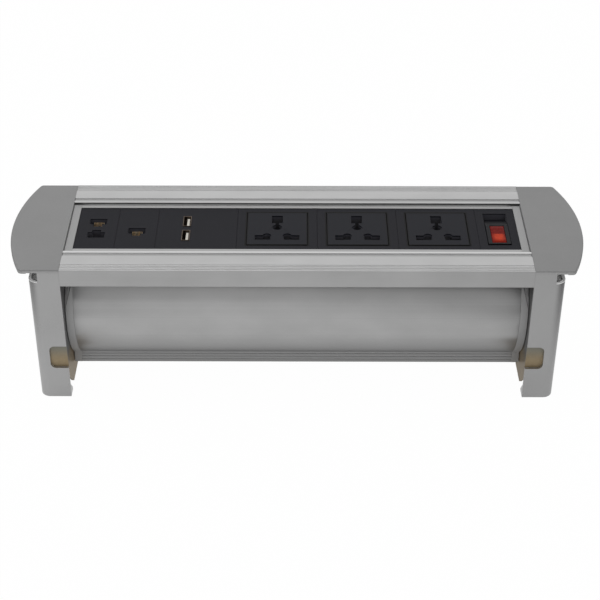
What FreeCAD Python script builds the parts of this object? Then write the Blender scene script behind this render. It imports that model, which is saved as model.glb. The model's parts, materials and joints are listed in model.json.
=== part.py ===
import FreeCAD, Part
import math
import os
import Sketcher

# Flip-up desk socket: two aluminium rails between D-shaped end flanges, a leg
# under each flange, and a drum that turns half a turn on two hollow pivots.
# One side of the drum is the socket panel, the other is a plain closed lid.
# Frame: X along the rails, Y from front to back, Z up from the foot of the legs.

# Driving sizes in millimetres, counts and degrees, one sheet cell for each
SIZES = {
    # drum, seen along X
    "drum_radius": 52.0,
    "head_half": 32.5,
    "head_rise": 9.9,
    "shell_wall": 2.0,
    "lid_thick": 2.5,
    "floor_gap": 2.95,
    "rib_count": 3,
    "rib_spaces": 3.8,
    "rib_share": 0.35,
    "rib_depth": 0.5,
    # panel modules, counted in half modules along X
    "half_module": 30.0,
    "module_count": 11,
    "channel_wall": 3.7,
    "plate_thick": 3.0,
    "plate_drop": 0.5,
    "plate_side_gap": 0.3,
    "plate_end_gap": 0.1,
    "ledge_thick": 2.0,
    "ledge_rest": 2.2,
    # drum ends and pivots
    "cap_thick": 5.5,
    "end_gap": 0.7,
    "hub_radius": 10.0,
    "hub_length": 12.0,
    "tube_radius": 6.0,
    "tube_bore": 4.2,
    "tube_overrun": 11.0,
    "run_gap": 0.05,
    "seat_gap": 0.05,
    "bush_wall": 2.0,
    "bush_flange": 2.0,
    "bush_rim": 3.0,
    "washer_gap": 0.1,
    "washer_width": 6.0,
    "nut_across": 19.0,
    "nut_thick": 6.0,
    "grommet_wall": 1.2,
    "grommet_length": 5.0,
    "cap_port_radius": 3.6,
    "cap_port_angle": 20.0,
    "cap_screw_radius": 1.5,
    "cap_screw_length": 14.0,
    "cap_head_radius": 2.9,
    "cap_head_thick": 1.8,
    "detent_gap": 3.0,
    "detent_radius": 3.0,
    "detent_length": 13.0,
    "detent_ball": 1.5,
    "dimple_depth": 0.8,
    "tip_gap": 0.3,
    # rails
    "rail_width": 26.0,
    "rail_plate": 2.4,
    "rail_wall": 2.0,
    "arc_wall": 1.6,
    "skirt_height": 14.0,
    "lip_gap": 1.5,
    "lip_width": 2.5,
    "face_drop": 1.5,
    "sweep_gap": 1.0,
    "step_width": 4.0,
    "step_depth": 0.8,
    "rail_rib_count": 4,
    "rail_rib_pitch": 2.0,
    "rail_rib_width": 0.9,
    "rail_rib_depth": 0.6,
    "rail_rib_inset": 1.1,
    "port_reach": 16.0,
    "port_drop": 7.2,
    "port_radius": 3.6,
    "rail_screw_radius": 2.0,
    "rail_screw_length": 12.0,
    "screw_head_radius": 3.4,
    "screw_head_thick": 2.2,
    # flanges and legs
    "flange_thick": 3.0,
    "flange_overhang": 18.4,
    "flange_crown": 13.0,
    "flange_corner": 3.5,
    "flange_edge": 0.6,
    "seat_depth": 0.5,
    "seat_clear": 0.3,
    "leg_width": 23.3,
    "leg_wall": 2.0,
    "leg_corner": 7.5,
    "ear_gap": 7.5,
    "notch_bottom": 27.0,
    "notch_height": 20.0,
    "notch_depth": 13.0,
    "notch_corner": 4.0,
    "foot_depth": 9.0,
    "foot_height": 11.0,
    "foot_tip": 2.0,
    "shelf_drop": 13.0,
    "shelf_thick": 3.0,
    "post_radius": 4.0,
    "post_inset": 16.0,
    "post_reach": 11.0,
    "post_screw_radius": 2.0,
    "hole_gap": 0.2,
    "desk_hole_radius": 2.25,
    "desk_hole_drop": 24.0,
    "desk_hole_half": 36.0,
    # bearing brackets
    "steel": 2.0,
    "bracket_gap": 0.3,
    "bracket_flange": 12.0,
    "bracket_foot": 1.5,
    "bracket_cut": 15.5,
    "tab_half": 50.0,
    "tab_length": 15.0,
    # socket modules
    "count_before_sockets": 4,
    "socket_count": 3,
    "insert_half": 22.5,
    "insert_gap": 0.5,
    "insert_rise": 0.3,
    "base_half_x": 27.0,
    "base_gap": 1.3,
    "base_depth": 22.0,
    "base_wall": 3.0,
    "earth_half": 4.1,
    "earth_top": 17.8,
    "earth_bottom": 7.6,
    "earth_low_radius": 3.5,
    "earth_low_y": 1.6,
    "earth_neck_half": 1.3,
    "line_in": 5.0,
    "line_out": 16.6,
    "line_top": -9.6,
    "line_bottom": -15.6,
    "line_bump_radius": 3.2,
    "line_bump_x": 7.6,
    "line_bump_y": -10.2,
    "contact_sheet": 0.6,
    "contact_half": 2.6,
    "contact_depth": 12.0,
    "contact_gap": 0.5,
    "busbar_width": 5.0,
    "busbar_thick": 1.0,
    "busbar_inset": 10.0,
    "earth_row": 8.0,
    "live_row": -16.0,
    "neutral_row": -8.0,
    # data modules
    "jack_half_x": 8.2,
    "jack_half_y": 6.6,
    "jack_depth": 20.0,
    "jack_mouth_half": 6.4,
    "jack_mouth_height": 7.4,
    "jack_latch_half": 3.3,
    "jack_latch_height": 3.0,
    "jack_mouth_depth": 13.0,
    "jack_pair_y": 7.8,
    "jack_single_y": -5.0,
    "wire_count": 8,
    "wire_pitch": 1.02,
    "wire_width": 0.46,
    "wire_thick": 0.5,
    "wire_length": 9.0,
    "wire_drop": 0.2,
    # charger module
    "usb_x": -8.0,
    "usb_y": 9.8,
    "usb_half_x": 3.0,
    "usb_half_y": 7.0,
    "usb_sheet": 0.4,
    "usb_depth": 12.0,
    "usb_rim": 0.4,
    "usb_gap": 0.1,
    "tongue_half_y": 5.6,
    "tongue_thick": 1.8,
    "tongue_drop": 1.2,
    "tongue_offset": 0.9,
    "board_thick": 1.6,
    "board_half_x": 24.0,
    "board_half_y": 20.0,
    # switch module
    "well_half_x": 8.8,
    "well_gap": 2.8,
    "well_depth": 12.0,
    "well_wall": 1.5,
    "rocker_gap": 0.5,
    "rocker_end_gap": 1.3,
    "rocker_thick": 8.5,
    "rocker_rise": 0.4,
    "rocker_dip": 5.0,
    "rocker_crest": 5.0,
    "housing_depth": 12.0,
    "rocker_pivot_drop": 6.0,
    "rocker_pin_radius": 1.2,
    "lens_half_x": 5.4,
    "lens_inset": 1.6,
    "lens_end_gap": 0.6,
    "lens_thick": 2.0,
    "lens_rise": 0.5,
}


class Size:
    """A number together with the sheet formula that gives it."""

    def __init__(self, value, text):
        self.value = value
        self.text = text

    def __add__(self, other):
        other = as_size(other)
        return Size(self.value + other.value, "(%s + %s)" % (self.text, other.text))

    def __sub__(self, other):
        other = as_size(other)
        return Size(self.value - other.value, "(%s - %s)" % (self.text, other.text))

    def __mul__(self, other):
        other = as_size(other)
        return Size(self.value * other.value, "%s * %s" % (self.text, other.text))

    def __truediv__(self, other):
        other = as_size(other)
        return Size(self.value / other.value, "(%s / (%s))" % (self.text, other.text))

    def __neg__(self):
        return Size(-self.value, "(0 - %s)" % self.text)

    __radd__ = __add__
    __rmul__ = __mul__


def as_size(item):
    if isinstance(item, Size):
        return item
    return Size(float(item), "(%g)" % item)


def root(size):
    return Size(math.sqrt(size.value), "sqrt(%s)" % size.text)


def cosine(angle):
    return Size(math.cos(math.radians(angle.value)), "cos(%s * 1deg)" % angle.text)


def sine(angle):
    return Size(math.sin(math.radians(angle.value)), "sin(%s * 1deg)" % angle.text)


def chord(radius, reach):
    """Half width of a circle of this radius at this distance from its centre."""
    return root(radius * radius - reach * reach)


class Sizes:
    """Every sheet cell as a Size, read as an attribute."""

    def __init__(self, values):
        for name, value in values.items():
            setattr(self, name, Size(float(value), "Sizes." + name))


def fill_sheet(doc, values):
    sheet = doc.addObject("Spreadsheet::Sheet", "Sizes")
    for row, (name, value) in enumerate(values.items(), start=1):
        sheet.set("A%d" % row, name)
        sheet.set("B%d" % row, str(value))
        sheet.setAlias("B%d" % row, name)
    doc.recompute()


doc = FreeCAD.newDocument("FlipUpDeskSocket")
fill_sheet(doc, SIZES)
S = Sizes(SIZES)
ZERO = Size(0.0, "0")
UP = FreeCAD.Vector(0, 0, 1)
ORIGIN = FreeCAD.Vector(0, 0, 0)
nodes = {}

# Levels and stations that many pieces share
head_join = chord(S.drum_radius, S.head_half)
head_reach = head_join + S.head_rise
sweep = root(S.head_half * S.head_half + head_reach * head_reach)
axis_z = sweep + S.floor_gap
face_z = axis_z + head_reach
top_z = face_z + S.face_drop
under_z = top_z - S.flange_thick
seat_z = under_z + S.seat_depth
plate_top = face_z - S.plate_drop
plate_under = plate_top - S.plate_thick
plate_half = S.head_half - S.channel_wall - S.plate_side_gap
ledge_half = plate_half - S.ledge_rest
shell_half = S.half_module * S.module_count / 2
cap_end = shell_half + S.cap_thick
inner_x = cap_end + S.end_gap
outer_x = inner_x + S.leg_width
opening_half = S.head_half + S.lip_gap
depth_half = opening_half + S.rail_width
arc_radius = sweep + S.sweep_gap
web_x = inner_x + S.steel
washer_thick = S.end_gap - 2 * S.washer_gap
tube_end = web_x + S.tube_overrun
port_u = opening_half + S.port_reach
port_z = top_z - S.port_drop
shelf_low = under_z - S.shelf_drop
shelf_top = shelf_low + S.shelf_thick
tab_top = shelf_top + S.steel
post_x = inner_x + S.post_reach
post_y = depth_half - S.post_inset
detent_reach = shelf_low - S.detent_gap - S.detent_radius - axis_z


def flat(place):
    return FreeCAD.Vector(place[0].value, place[1].value, 0)


def start_body(name, turned=False, lift=None):
    """A body, turned half round Z for a left-hand piece, or lifted to a height."""
    body = doc.addObject("PartDesign::Body", name)
    if turned:
        body.Placement = FreeCAD.Placement(ORIGIN, FreeCAD.Rotation(UP, 180))
    if lift is not None:
        body.setExpression(".Placement.Base.z", lift.text)
    nodes[name] = body
    return body


def start_sketch(body, role, name, level=ZERO):
    sketch = body.newObject("Sketcher::SketchObject", name)
    plane = next(item for item in body.Origin.OriginFeatures if item.Role == role)
    sketch.AttachmentSupport = [(plane, "")]
    sketch.MapMode = "FlatFace"
    sketch.setExpression(".AttachmentOffset.Base.z", level.text)
    return sketch


def fix(sketch, kind, places, size):
    number = sketch.addConstraint(Sketcher.Constraint(kind, *places, size.value))
    sketch.setExpression("Constraints[%d]" % number, size.text)


def fix_point(sketch, item, end, place):
    fix(sketch, "DistanceX", (-1, 1, item, end), place[0])
    fix(sketch, "DistanceY", (-1, 1, item, end), place[1])


def bend(here, there, radius):
    """The arc of under half a circle from here to there, to the left when radius > 0."""
    run = there - here
    side = FreeCAD.Vector(-run.y, run.x, 0).normalize()
    rise = math.sqrt(max(radius * radius - run.Length ** 2 / 4, 0.0))
    centre = (here + there) / 2 + side * math.copysign(rise, radius)
    first, last = (here, there) if radius > 0 else (there, here)
    start = math.atan2(first.y - centre.y, first.x - centre.x)
    stop = math.atan2(last.y - centre.y, last.x - centre.x)
    if stop < start:
        stop += 2 * math.pi
    return Part.ArcOfCircle(Part.Circle(centre, UP, abs(radius)), start, stop)


def draw_loop(sketch, corners, arcs=None):
    """A closed outline. arcs gives the signed radius of the side after a corner."""
    arcs = arcs or {}
    count = len(corners)
    heads = []
    tails = []
    for index in range(count):
        here = flat(corners[index])
        there = flat(corners[(index + 1) % count])
        arc = arcs.get(index)
        if arc is None:
            item = sketch.addGeometry(Part.LineSegment(here, there), False)
        else:
            item = sketch.addGeometry(bend(here, there, arc.value), False)
        backwards = arc is not None and arc.value < 0
        heads.append((item, 2 if backwards else 1))
        tails.append((item, 1 if backwards else 2))
    for index in range(count):
        after = heads[(index + 1) % count]
        sketch.addConstraint(Sketcher.Constraint("Coincident", *tails[index], *after))
        fix_point(sketch, heads[index][0], heads[index][1], corners[index])
    for index, arc in arcs.items():
        size = arc if arc.value > 0 else -arc
        fix(sketch, "Radius", (heads[index][0],), size)


def draw_circle(sketch, x, y, radius):
    item = sketch.addGeometry(Part.Circle(flat((x, y)), UP, radius.value), False)
    fix_point(sketch, item, 3, (x, y))
    fix(sketch, "Radius", (item,), radius)


def draw_box(sketch, x, y):
    """A rectangle from the low and high of each direction."""
    draw_loop(sketch, [(x[0], y[0]), (x[1], y[0]), (x[1], y[1]), (x[0], y[1])])


def add_feature(body, kind, name, sketch, length):
    feature = body.newObject(kind, name)
    feature.Profile = sketch
    feature.setExpression("Length", length.text)
    return feature


def pad(body, sketch, length):
    """Material from the sketch along its normal."""
    return add_feature(body, "PartDesign::Pad", sketch.Name + "Pad", sketch, length)


def pocket(body, sketch, length):
    """A cut from the sketch along its normal."""
    feature = add_feature(body, "PartDesign::Pocket", sketch.Name + "Cut", sketch, length)
    feature.Reversed = True
    return feature


def revolve(body, sketch):
    """A turned piece about the sketch's horizontal axis."""
    feature = body.newObject("PartDesign::Revolution", sketch.Name + "Turn")
    feature.Profile = sketch
    feature.ReferenceAxis = (sketch, ["H_Axis"])
    feature.Angle = 360
    return feature


def pick_edges(feature, wanted):
    """Names of the edges whose two ends both pass the test."""
    doc.recompute()
    names = []
    for number, edge in enumerate(feature.Shape.Edges, start=1):
        ends = [vertex.Point for vertex in edge.Vertexes]
        if len(ends) == 2 and wanted(ends[0], ends[1]):
            names.append("Edge%d" % number)
    return names


def round_edges(body, feature, wanted, radius):
    names = pick_edges(feature, wanted)
    fillet = body.newObject("PartDesign::Fillet", feature.Name + "Round")
    fillet.Base = (feature, names)
    fillet.setExpression("Radius", radius.text)
    return fillet


def bevel_edges(body, feature, wanted, size):
    names = pick_edges(feature, wanted)
    chamfer = body.newObject("PartDesign::Chamfer", feature.Name + "Bevel")
    chamfer.Base = (feature, names)
    chamfer.setExpression("Size", size.text)
    return chamfer


def block(name, x, y, z):
    """A box from the low and high of each direction."""
    item = doc.addObject("Part::Box", name)
    for side, (low, high) in zip(("Length", "Width", "Height"), (x, y, z)):
        item.setExpression(side, (high - low).text)
    for letter, (low, high) in zip("xyz", (x, y, z)):
        item.setExpression(".Placement.Base." + letter, low.text)
    return item


def rod(name, centre, radius, length, along="z", six_sided=False):
    """A cylinder from its centre point along X or Z, or a prism with six sides."""
    item = doc.addObject("Part::Prism" if six_sided else "Part::Cylinder", name)
    turn = FreeCAD.Rotation(FreeCAD.Vector(0, 1, 0), 90 if along == "x" else 0)
    item.Placement = FreeCAD.Placement(ORIGIN, turn)
    item.setExpression("Circumradius" if six_sided else "Radius", radius.text)
    item.setExpression("Height", length.text)
    for letter, size in zip("xyz", centre):
        item.setExpression(".Placement.Base." + letter, size.text)
    return item


def fuse(name, items):
    item = doc.addObject("Part::MultiFuse", name)
    item.Shapes = items
    return item


def cut(name, base, tool):
    item = doc.addObject("Part::Cut", name)
    item.Base = base
    item.Tool = tool
    return item


def keep(name, item):
    """Makes an object one of the pieces that the part is made of."""
    item.Label = name
    nodes[name] = item
    return item


def span(middle, half):
    return (middle - half, middle + half)


def groove_run(start, pitch, width, depth, count, place):
    """Corners of a row of square grooves; place turns (along, deep) into a corner."""
    run = []
    for index in range(count):
        near = start + pitch * index
        far = near + width
        run += [place(near, ZERO), place(near, depth), place(far, depth), place(far, ZERO)]
    return run


def make_rail(name, turned):
    """Extruded rail: ribbed top, outer skirt and an inner wall that clears the drum."""
    body = start_body(name, turned)
    low = top_z - S.skirt_height
    plate_low = top_z - S.rail_plate
    outer_arc = arc_radius + S.arc_wall
    lip_end = opening_half + S.lip_width
    step_end = lip_end + S.step_width
    corners = [
        (chord(arc_radius, low - axis_z), low),
        (chord(outer_arc, low - axis_z), low),
        (chord(outer_arc, plate_low - axis_z), plate_low),
        (depth_half - S.rail_wall, plate_low),
        (depth_half - S.rail_wall, low),
        (depth_half, low),
        (depth_half, top_z),
    ]
    corners += groove_run(
        S.rail_rib_inset, S.rail_rib_pitch, S.rail_rib_width, S.rail_rib_depth,
        SIZES["rail_rib_count"], lambda along, deep: (depth_half - along, top_z - deep))
    corners += [
        (step_end, top_z),
        (step_end, top_z - S.step_depth),
        (lip_end, top_z - S.step_depth),
        (lip_end, top_z),
        (opening_half, top_z),
        (opening_half, axis_z + chord(arc_radius, opening_half)),
    ]
    profile = start_sketch(body, "YZ_Plane", name + "Profile", -inner_x)
    draw_loop(profile, corners, {1: outer_arc, len(corners) - 1: -arc_radius})
    pad(body, profile, 2 * inner_x)
    port = start_sketch(body, "YZ_Plane", name + "Port", -inner_x)
    draw_box(port, span(port_u, S.port_radius), (port_z - S.port_radius, top_z - S.rail_plate / 2))
    pad(body, port, 2 * inner_x)
    hole = start_sketch(body, "YZ_Plane", name + "Hole", -inner_x)
    draw_circle(hole, port_u, port_z, S.rail_screw_radius + S.seat_gap)
    pocket(body, hole, 2 * inner_x)


def make_flange(name, turned):
    """D-shaped flange that lies on the desk, with two posts for the leg's screws."""
    body = start_body(name, turned)
    corner_x = outer_x + S.flange_overhang - S.flange_crown
    crown = (depth_half * depth_half + S.flange_crown * S.flange_crown) / (2 * S.flange_crown)
    plate = start_sketch(body, "XY_Plane", name + "Plate", under_z)
    draw_loop(plate, [
        (inner_x, -depth_half), (corner_x, -depth_half),
        (corner_x, depth_half), (inner_x, depth_half)], {1: crown})
    solid = pad(body, plate, S.flange_thick)
    rounded = round_edges(
        body, solid,
        lambda a, b: abs(a.x - corner_x.value) < 0.01 and abs(b.x - corner_x.value) < 0.01
        and abs(a.z - b.z) > 0.1, S.flange_corner)
    bevel_edges(
        body, rounded,
        lambda a, b: min(a.z, b.z) > top_z.value - 0.01
        and max(a.x, b.x) > inner_x.value + 0.01, S.flange_edge)
    seat = start_sketch(body, "XY_Plane", name + "Seat", under_z)
    draw_box(
        seat, (inner_x - S.leg_wall, outer_x + S.seat_clear),
        (-depth_half - S.leg_wall, depth_half + S.leg_wall))
    pocket(body, seat, S.seat_depth)
    posts = start_sketch(body, "XY_Plane", name + "Posts", tab_top)
    holes = start_sketch(body, "XY_Plane", name + "PostHoles", tab_top)
    for side in (-1, 1):
        draw_circle(posts, post_x, post_y * side, S.post_radius)
        draw_circle(holes, post_x, post_y * side, S.post_screw_radius + S.seat_gap)
    pad(body, posts, seat_z - tab_top)
    pocket(body, holes, seat_z - tab_top)


def make_leg(name, turned):
    """Channel leg: round outer corners, ear gap under the flange, notched walls."""
    body = start_body(name, turned)
    face_end = outer_x - S.leg_corner
    side_end = depth_half - S.leg_corner
    inside_y = depth_half - S.leg_wall
    inside_x = outer_x - S.leg_wall
    inside_corner = S.leg_corner - S.leg_wall
    channel = start_sketch(body, "XY_Plane", name + "Channel")
    draw_loop(channel, [
        (inner_x, -depth_half), (face_end, -depth_half), (outer_x, -side_end),
        (outer_x, side_end), (face_end, depth_half), (inner_x, depth_half),
        (inner_x, inside_y), (face_end, inside_y), (inside_x, side_end),
        (inside_x, -side_end), (face_end, -inside_y), (inner_x, -inside_y)],
        {1: S.leg_corner, 3: S.leg_corner, 7: -inside_corner, 9: -inside_corner})
    pad(body, channel, seat_z)
    ear = start_sketch(body, "XY_Plane", name + "Ear", under_z - S.ear_gap)
    draw_box(ear, (face_end, outer_x + S.leg_wall), (-depth_half - S.leg_wall, depth_half + S.leg_wall))
    pocket(body, ear, S.ear_gap + S.seat_depth)
    notch = start_sketch(body, "XZ_Plane", name + "Notch", -depth_half)
    low = S.notch_bottom
    high = low + S.notch_height
    deep = inner_x + S.notch_depth
    draw_loop(notch, [
        (inner_x - S.leg_wall, low), (deep - S.notch_corner, low), (deep, low + S.notch_corner),
        (deep, high - S.notch_corner), (deep - S.notch_corner, high),
        (inner_x - S.leg_wall, high)], {1: S.notch_corner, 3: S.notch_corner})
    pocket(body, notch, 2 * depth_half)
    for side in (-1, 1):
        foot = start_sketch(body, "YZ_Plane", name + "Foot", inner_x)
        foot_end = (depth_half - S.foot_depth) * side
        draw_loop(foot, [
            (depth_half * side, ZERO), (foot_end, ZERO), (foot_end, S.foot_tip),
            (depth_half * side, S.foot_tip + S.foot_height)])
        pad(body, foot, S.leg_wall)
    shelf = start_sketch(body, "XY_Plane", name + "Shelf", shelf_low)
    draw_box(shelf, (web_x + S.bracket_gap, outer_x - S.leg_wall / 2), (-side_end, side_end))
    pad(body, shelf, S.shelf_thick)
    holes = start_sketch(body, "XY_Plane", name + "ShelfHoles", shelf_low)
    desk = start_sketch(body, "YZ_Plane", name + "DeskHoles", inside_x - S.leg_wall)
    for side in (-1, 1):
        draw_circle(holes, post_x, post_y * side, S.post_screw_radius + S.hole_gap)
        draw_circle(desk, S.desk_hole_half * side, under_z - S.desk_hole_drop, S.desk_hole_radius)
    pocket(body, holes, S.shelf_thick)
    pocket(body, desk, 3 * S.leg_wall)


def make_bracket(name, turned):
    """Bent steel bearing bracket that closes the leg's inner side and holds the pivot."""
    body = start_body(name, turned)
    half = depth_half - S.leg_wall - S.bracket_gap
    low = S.bracket_foot
    cut_z = low + S.bracket_cut
    cut_y = half - S.bracket_cut
    web = start_sketch(body, "YZ_Plane", name + "Web", inner_x)
    draw_loop(web, [
        (-cut_y, low), (cut_y, low), (half, cut_z), (half, seat_z - S.bracket_gap),
        (-half, seat_z - S.bracket_gap), (-half, cut_z)])
    pad(body, web, S.steel)
    for side in (-1, 1):
        wing = start_sketch(body, "YZ_Plane", name + "Wing", web_x)
        draw_box(wing, span((half - S.steel / 2) * side, S.steel / 2), (cut_z, shelf_low - S.bracket_gap))
        pad(body, wing, S.bracket_flange)
    tab = start_sketch(body, "YZ_Plane", name + "Tab", web_x)
    draw_box(tab, (-S.tab_half, S.tab_half), (shelf_top, tab_top))
    pad(body, tab, S.tab_length)
    bore = start_sketch(body, "YZ_Plane", name + "Bore", inner_x)
    draw_circle(bore, ZERO, axis_z, S.tube_radius + S.run_gap + S.bush_wall + S.seat_gap)
    draw_circle(bore, ZERO, axis_z + detent_reach, S.detent_radius + S.seat_gap)
    tab_holes = start_sketch(body, "XY_Plane", name + "TabHoles", shelf_top)
    for side in (-1, 1):
        draw_circle(bore, port_u * side, port_z, S.rail_screw_radius + S.hole_gap)
        draw_circle(tab_holes, post_x, post_y * side, S.post_screw_radius + S.hole_gap)
    pocket(body, bore, S.steel)
    pocket(body, tab_holes, S.steel)


def make_ring(name, turned, height, corners):
    """A turned piece about the line along X at this height."""
    body = start_body(name, turned, height)
    section = start_sketch(body, "XZ_Plane", name + "Section")
    draw_loop(section, corners)
    revolve(body, section)


def make_pivot(side, turned):
    """Bush, friction washer, hollow tube, nut, grommet and detent of one end."""
    bore = S.tube_radius + S.run_gap
    barrel = bore + S.bush_wall
    flange_end = web_x + S.bush_flange
    make_ring("pivot_bush_" + side, turned, axis_z, [
        (inner_x, bore), (flange_end, bore), (flange_end, barrel + S.bush_rim),
        (web_x, barrel + S.bush_rim), (web_x, barrel), (inner_x, barrel)])
    washer = (cap_end + S.washer_gap, inner_x - S.washer_gap)
    make_ring("friction_washer_" + side, turned, axis_z, [
        (washer[0], bore), (washer[1], bore),
        (washer[1], bore + S.washer_width), (washer[0], bore + S.washer_width)])
    tube_start = shell_half - S.hub_length
    make_ring("pivot_tube_" + side, turned, axis_z, [
        (tube_start, S.tube_bore), (tube_end, S.tube_bore),
        (tube_end, S.tube_radius), (tube_start, S.tube_radius)])
    lip = tube_end + S.grommet_wall
    inside = S.tube_bore - S.grommet_wall
    make_ring("cable_grommet_" + side, turned, axis_z, [
        (tube_end - S.grommet_length, inside), (lip, inside), (lip, S.tube_radius),
        (tube_end, S.tube_radius), (tube_end, S.tube_bore - S.seat_gap),
        (tube_end - S.grommet_length, S.tube_bore - S.seat_gap)])
    nose = cap_end + S.tip_gap
    make_ring("detent_plunger_" + side, turned, axis_z + detent_reach, [
        (nose, ZERO), (inner_x + S.detent_length, ZERO),
        (inner_x + S.detent_length, S.detent_radius), (inner_x, S.detent_radius),
        (inner_x, S.detent_ball), (nose, S.detent_ball)])
    nut = start_body("pivot_nut_" + side, turned, axis_z)
    face = start_sketch(nut, "YZ_Plane", "NutFace" + side, flange_end + S.washer_gap)
    reach = S.nut_across / root(as_size(3))
    draw_loop(face, [
        (reach * cosine(as_size(turn)), reach * sine(as_size(turn))) for turn in range(0, 360, 60)])
    draw_circle(face, ZERO, ZERO, S.tube_radius + S.seat_gap)
    pad(nut, face, S.nut_thick)


def mirrored(run):
    """The same run of corners on the other side, walked the other way."""
    arcs = [arc for _, arc in run][:-1][::-1] + [None]
    return [((-place[0], place[1]), arc) for (place, _), arc in zip(reversed(run), arcs)]


def draw_path(sketch, path):
    arcs = {index: arc for index, (_, arc) in enumerate(path) if arc is not None}
    draw_loop(sketch, [place for place, _ in path], arcs)


def drum_side():
    """Right side of the drum's outline from its lid to its face, without grooves."""
    return [
        ((S.head_half, -head_reach), None),
        ((S.head_half, -head_join), S.drum_radius),
        ((S.head_half, head_join), None),
        ((S.head_half, head_reach), None),
    ]


def cap_ports():
    """Centres of the four screw ports inside the drum wall."""
    reach = S.drum_radius - S.shell_wall / 2 - S.cap_port_radius
    wide = reach * cosine(S.cap_port_angle)
    high = reach * sine(S.cap_port_angle)
    return [(wide * a, high * b) for a in (-1, 1) for b in (-1, 1)]


def grooved(run):
    return [(place, None) for place in run]


def make_shell():
    """Extruded drum: round flanks, ribbed lid below, open module channel above."""
    body = start_body("drum_shell", lift=axis_z)
    count = SIZES["rib_count"]
    pitch = S.head_rise / S.rib_spaces
    rib = (pitch, pitch, pitch * S.rib_share, S.rib_depth, count)
    lid_ribs = groove_run(*rib, lambda along, deep: (S.head_half - along, deep - head_reach))
    low_ribs = groove_run(*rib, lambda along, deep: (S.head_half - deep, along - head_reach))
    high_ribs = groove_run(*rib, lambda along, deep: (S.head_half - deep, head_reach - along))
    outside = grooved(lid_ribs[::-1]) + [((S.head_half, -head_reach), None)] + grooved(low_ribs)
    outside += [((S.head_half, -head_join), S.drum_radius), ((S.head_half, head_join), None)]
    outside += grooved(high_ribs[::-1]) + [((S.head_half, head_reach), None)]
    channel = plate_half + S.plate_side_gap
    ledge = head_reach - S.plate_drop - S.plate_thick
    inner_radius = S.drum_radius - S.shell_wall
    inner_half = S.head_half - S.shell_wall
    inner_join = chord(inner_radius, inner_half)
    inside = [
        ((channel, head_reach), None),
        ((channel, ledge), None),
        ((ledge_half, ledge), None),
        ((ledge_half, ledge - S.ledge_thick), None),
        ((inner_half, ledge - S.ledge_thick), None),
        ((inner_half, inner_join), -inner_radius),
        ((inner_half, -inner_join), None),
        ((inner_half, S.lid_thick - head_reach), None),
    ]
    profile = start_sketch(body, "YZ_Plane", "ShellProfile", -shell_half)
    draw_path(profile, outside + inside + mirrored(inside) + mirrored(outside))
    pad(body, profile, 2 * shell_half)
    ports = start_sketch(body, "YZ_Plane", "ShellPorts", -shell_half)
    holes = start_sketch(body, "YZ_Plane", "ShellHoles", -shell_half)
    for y, z in cap_ports():
        draw_circle(ports, y, z, S.cap_port_radius)
        draw_circle(holes, y, z, S.cap_screw_radius + S.seat_gap)
    pad(body, ports, 2 * shell_half)
    pocket(body, holes, 2 * shell_half)


def make_cap(name, turned):
    """End cap of the drum: full outline, hub for the hollow pivot, detent dimples."""
    body = start_body(name, turned, axis_z)
    plate = start_sketch(body, "YZ_Plane", name + "Plate", shell_half)
    side = drum_side()
    draw_path(plate, side + mirrored(side))
    pad(body, plate, S.cap_thick)
    hub = start_sketch(body, "YZ_Plane", name + "Hub", shell_half - S.hub_length)
    draw_circle(hub, ZERO, ZERO, S.hub_radius)
    pad(body, hub, S.hub_length)
    bore = start_sketch(body, "YZ_Plane", name + "Bore", shell_half - S.hub_length)
    draw_circle(bore, ZERO, ZERO, S.tube_radius + S.seat_gap)
    pocket(body, bore, S.hub_length + S.cap_thick)
    holes = start_sketch(body, "YZ_Plane", name + "Holes", shell_half)
    seats = start_sketch(body, "YZ_Plane", name + "Seats", cap_end - S.cap_head_thick)
    for y, z in cap_ports():
        draw_circle(holes, y, z, S.cap_screw_radius + S.hole_gap)
        draw_circle(seats, y, z, S.cap_head_radius + S.hole_gap)
    pocket(body, holes, S.cap_thick)
    pocket(body, seats, S.cap_head_thick)
    dimples = start_sketch(body, "YZ_Plane", name + "Dimples", cap_end - S.dimple_depth)
    for turn in (-1, 1):
        draw_circle(dimples, ZERO, detent_reach * turn, S.detent_ball + S.tip_gap)
    pocket(body, dimples, S.dimple_depth)


def screw(name, seat, along, end, shank, head, six_sided):
    """A screw whose head stands on its seat towards one end; sizes are (radius, length)."""
    def rod_from(role, reach, size, sides):
        low = reach if end > 0 else -(reach + size[1])
        start = [place + low if letter == along else place for letter, place in zip("xyz", seat)]
        return rod(name + role, start, size[0], size[1], along, sides)

    return fuse(name, [
        rod_from("Shank", -shank[1], shank, False), rod_from("Head", ZERO, head, six_sided)])


def make_screws(name, screws):
    """A set of like screws kept as one piece of separate solids."""
    item = doc.addObject("Part::Compound", name)
    item.Links = screws
    keep(name, item)


def make_all_screws():
    rail_set = []
    post_set = []
    cap_set = []
    head = (S.screw_head_radius, S.screw_head_thick)
    rail_shank = (S.rail_screw_radius, S.rail_screw_length)
    post_shank = (S.post_screw_radius, under_z - shelf_low - S.tip_gap)
    cap_shank = (S.cap_screw_radius, S.cap_screw_length)
    cap_head = (S.cap_head_radius, S.cap_head_thick - S.seat_gap)
    cap_seat = cap_end - S.cap_head_thick
    for end in (-1, 1):
        for side in (-1, 1):
            rail_set.append(screw(
                "RailScrew", (web_x * end, port_u * side, port_z), "x", end,
                rail_shank, head, True))
            post_set.append(screw(
                "PostScrew", (post_x * end, post_y * side, shelf_low), "z", -1,
                post_shank, head, True))
        for y, z in cap_ports():
            cap_set.append(screw(
                "CapScrew", (cap_seat * end, y, z + axis_z), "x", end,
                cap_shank, cap_head, False))
    make_screws("rail_screws", rail_set)
    make_screws("flange_screws", post_set)
    make_screws("cap_screws", cap_set)


def station(halves):
    """X of a boundary between modules, counted in half modules from the left."""
    return S.half_module * halves - shell_half


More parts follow.
